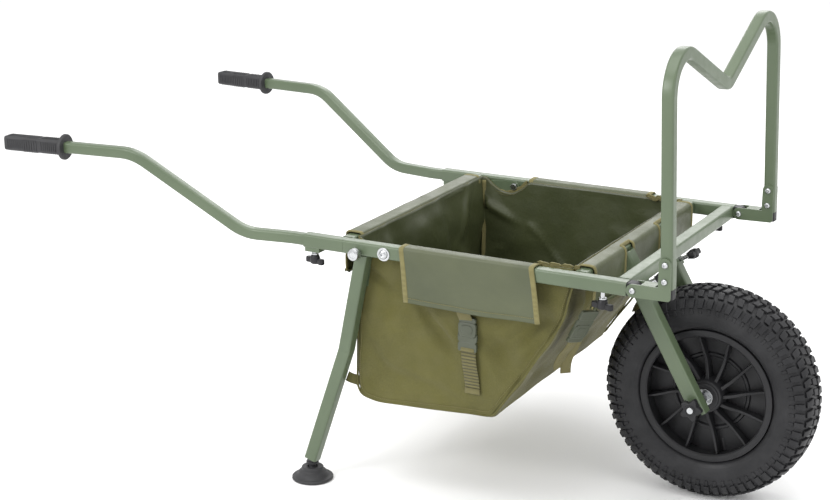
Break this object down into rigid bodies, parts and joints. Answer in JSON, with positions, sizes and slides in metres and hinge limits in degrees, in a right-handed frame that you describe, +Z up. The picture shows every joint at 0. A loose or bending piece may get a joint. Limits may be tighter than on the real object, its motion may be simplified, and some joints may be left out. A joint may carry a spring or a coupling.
{
  "type": "wheelbarrow",
  "caption": "Folding single-wheel barrow with a square-tube frame, fabric load bag, clamped handles, drop-down legs and a folding front load bar.",
  "frame": {"origin": "on the floor, at the middle of the overall bounding box", "axes": "+X forwards to the wheel, +Y to the pusher's left, +Z up"},
  "size_m": [1.5143, 0.7654, 0.8692],
  "materials": {
    "green_paint": "sage green powder coat, semi-gloss with a fine orange peel",
    "bright_zinc": "bright zinc-plated steel",
    "black_plastic": "black moulded plastic with a fine grain",
    "black_rubber": "matt black rubber",
    "tyre_rubber": "black tyre rubber, moulded tread",
    "bag_cloth": "olive coated canvas, plain weave",
    "flap_cloth": "grey-green coated lining cloth with a slight sheen",
    "webbing": "olive ribbed webbing"
  },
  "bodies": {
    "frame": {"rear_cross_tube": "green_paint", "inner_cross_tube": "green_paint", "front_cross_tube": "green_paint", "bag": "bag_cloth", "rail_right": "green_paint", "handle_sleeve_right": "green_paint", "hinge_lug_right": "black_plastic", "hinge_bolt_right": "bright_zinc", "leg_bolt_right": "bright_zinc", "fork_socket_right": "green_paint", "side_flap_right": "flap_cloth", "side_strap_right": "webbing", "anchor_strap_right": "webbing", "rail_left": "green_paint", "handle_sleeve_left": "green_paint", "hinge_lug_left": "black_plastic", "hinge_bolt_left": "bright_zinc", "leg_bolt_left": "bright_zinc", "fork_socket_left": "green_paint", "side_flap_left": "flap_cloth", "side_strap_left": "webbing", "anchor_strap_left": "webbing"},
    "load_bar": {"load_bar": "green_paint", "bar_bracket_right": "green_paint", "bar_plug_right": "black_plastic", "bracket_bolt_right_1": "bright_zinc", "bracket_bolt_right_2": "bright_zinc", "bar_bracket_left": "green_paint", "bar_plug_left": "black_plastic", "bracket_bolt_left_1": "bright_zinc", "bracket_bolt_left_2": "bright_zinc"},
    "fork": {"axle": "bright_zinc", "fork_arm_right": "green_paint", "fork_arm_left": "green_paint"},
    "wheel": {"tyre": "tyre_rubber", "rim": "black_plastic", "valve_stem": "black_rubber", "wheel_bearing_right": "bright_zinc", "wheel_bearing_left": "bright_zinc"},
    "handle_right": {"handle_tube_right": "green_paint", "grip_right": "black_rubber"},
    "handle_knob_right": {"handle_knob_right": "black_plastic"},
    "rail_knob_right": {"rail_knob_right": "black_plastic"},
    "fork_knob_right": {"fork_knob_right": "black_plastic"},
    "axle_knob_right": {"axle_knob_right": "black_plastic"},
    "leg_right": {"leg_right": "green_paint", "leg_ball_right": "black_plastic"},
    "foot_right": {"foot_right": "black_rubber"},
    "lock_pin_right": {"lock_pin_right": "bright_zinc"},
    "handle_left": {"handle_tube_left": "green_paint", "grip_left": "black_rubber"},
    "handle_knob_left": {"handle_knob_left": "black_plastic"},
    "rail_knob_left": {"rail_knob_left": "black_plastic"},
    "fork_knob_left": {"fork_knob_left": "black_plastic"},
    "axle_knob_left": {"axle_knob_left": "black_plastic"},
    "leg_left": {"leg_left": "green_paint", "leg_ball_left": "black_plastic"},
    "foot_left": {"foot_left": "black_rubber"},
    "lock_pin_left": {"lock_pin_left": "bright_zinc"}
  },
  "joints": [
    {"name": "wheel_spin", "type": "hinge", "parent": "fork", "child": "wheel", "pos_m": [0.5564, 0, 0.2], "axis": [0, 1, 0], "continuous": true},
    {"name": "load_bar_fold", "type": "hinge", "parent": "frame", "child": "load_bar", "pos_m": [0.5049, 0, 0.465], "axis": [0, -1, 0], "range_deg": [0, 90]},
    {"name": "fork_slide", "type": "slide", "parent": "frame", "child": "fork", "axis": [0.4948, 0, -0.869], "range_m": [0, 0.04]},
    {"name": "handle_slide_right", "type": "slide", "parent": "frame", "child": "handle_right", "axis": [-1, 0, 0], "range_m": [0, 0.07]},
    {"name": "handle_knob_turn_right", "type": "hinge", "parent": "frame", "child": "handle_knob_right", "pos_m": [-0.1221, -0.2785, 0.43], "axis": [0, 0, 1], "continuous": true},
    {"name": "rail_knob_turn_right", "type": "hinge", "parent": "frame", "child": "rail_knob_right", "pos_m": [0.4469, -0.2785, 0.43], "axis": [0, 0, 1], "continuous": true},
    {"name": "fork_knob_turn_right", "type": "hinge", "parent": "frame", "child": "fork_knob_right", "pos_m": [0.46569, -0.084, 0.41992], "axis": [0.869, 0, 0.4948], "continuous": true},
    {"name": "axle_knob_turn_right", "type": "hinge", "parent": "fork", "child": "axle_knob_right", "pos_m": [0.5564, -0.11, 0.2], "axis": [0, -1, 0], "continuous": true},
    {"name": "leg_fold_right", "type": "hinge", "parent": "frame", "child": "leg_right", "pos_m": [0.0289, -0.2785, 0.462], "axis": [0, -1, 0], "range_deg": [0, 94], "deforming": ["side_flap_right", "side_strap_right", "anchor_strap_right"]},
    {"name": "foot_tilt_right", "type": "hinge", "parent": "leg_right", "child": "foot_right", "pos_m": [-0.1251, -0.295, 0.018], "axis": [0, 1, 0], "range_deg": [-15, 15]},
    {"name": "lock_pin_pull_right", "type": "slide", "parent": "frame", "child": "lock_pin_right", "axis": [0, -1, 0], "range_m": [0, 0.008], "stiffness_N_per_m": 600, "springref_m": -0.004},
    {"name": "handle_slide_left", "type": "slide", "parent": "frame", "child": "handle_left", "axis": [-1, 0, 0], "range_m": [0, 0.07]},
    {"name": "handle_knob_turn_left", "type": "hinge", "parent": "frame", "child": "handle_knob_left", "pos_m": [-0.1221, 0.2785, 0.43], "axis": [0, 0, 1], "continuous": true},
    {"name": "rail_knob_turn_left", "type": "hinge", "parent": "frame", "child": "rail_knob_left", "pos_m": [0.4469, 0.2785, 0.43], "axis": [0, 0, 1], "continuous": true},
    {"name": "fork_knob_turn_left", "type": "hinge", "parent": "frame", "child": "fork_knob_left", "pos_m": [0.46569, 0.084, 0.41992], "axis": [0.869, 0, 0.4948], "continuous": true},
    {"name": "axle_knob_turn_left", "type": "hinge", "parent": "fork", "child": "axle_knob_left", "pos_m": [0.5564, 0.11, 0.2], "axis": [0, 1, 0], "continuous": true},
    {"name": "leg_fold_left", "type": "hinge", "parent": "frame", "child": "leg_left", "pos_m": [0.0289, 0.2785, 0.462], "axis": [0, -1, 0], "range_deg": [0, 94], "deforming": ["side_flap_left", "side_strap_left", "anchor_strap_left"]},
    {"name": "foot_tilt_left", "type": "hinge", "parent": "leg_left", "child": "foot_left", "pos_m": [-0.1251, 0.295, 0.018], "axis": [0, 1, 0], "range_deg": [-15, 15]},
    {"name": "lock_pin_pull_left", "type": "slide", "parent": "frame", "child": "lock_pin_left", "axis": [0, 1, 0], "range_m": [0, 0.008], "stiffness_N_per_m": 600, "springref_m": -0.004}
  ]
}
